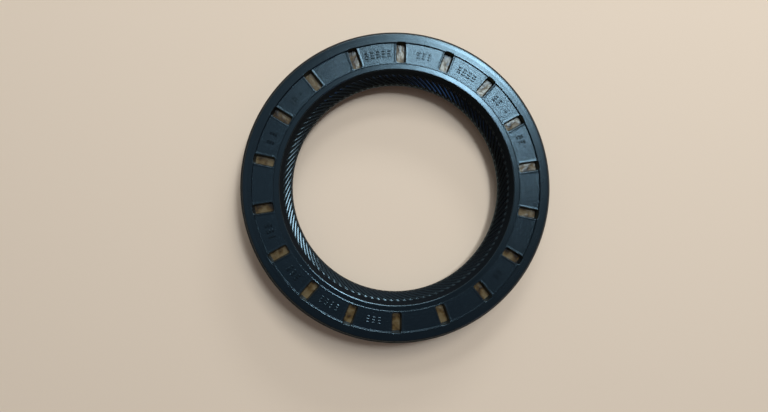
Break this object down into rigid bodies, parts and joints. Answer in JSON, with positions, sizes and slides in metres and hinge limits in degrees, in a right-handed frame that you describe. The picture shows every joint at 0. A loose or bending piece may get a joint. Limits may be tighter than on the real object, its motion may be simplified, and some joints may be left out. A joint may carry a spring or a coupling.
{
  "type": "radial shaft seal",
  "caption": "Rubber-covered rotary shaft seal: flat windowed ring face, steel case inside, sprung sealing lip with helical pumping ribs round the bore.",
  "frame": {"origin": "on the seal's axis, in the plane of its oil-side end", "axes": "+Z along the axis towards the air side, the face with the windows; windows lie 10 degrees to each side of +X"},
  "size_m": [0.0782, 0.0782, 0.01],
  "materials": {
    "rubber": "smooth satin moulded elastomer",
    "case": "pressed steel under a thin golden bonding coat",
    "spring": "drawn spring wire"
  },
  "bodies": {
    "root": {"rubber_body": "rubber", "metal_case": "case", "garter_spring": "spring"}
  },
  "joints": []
}
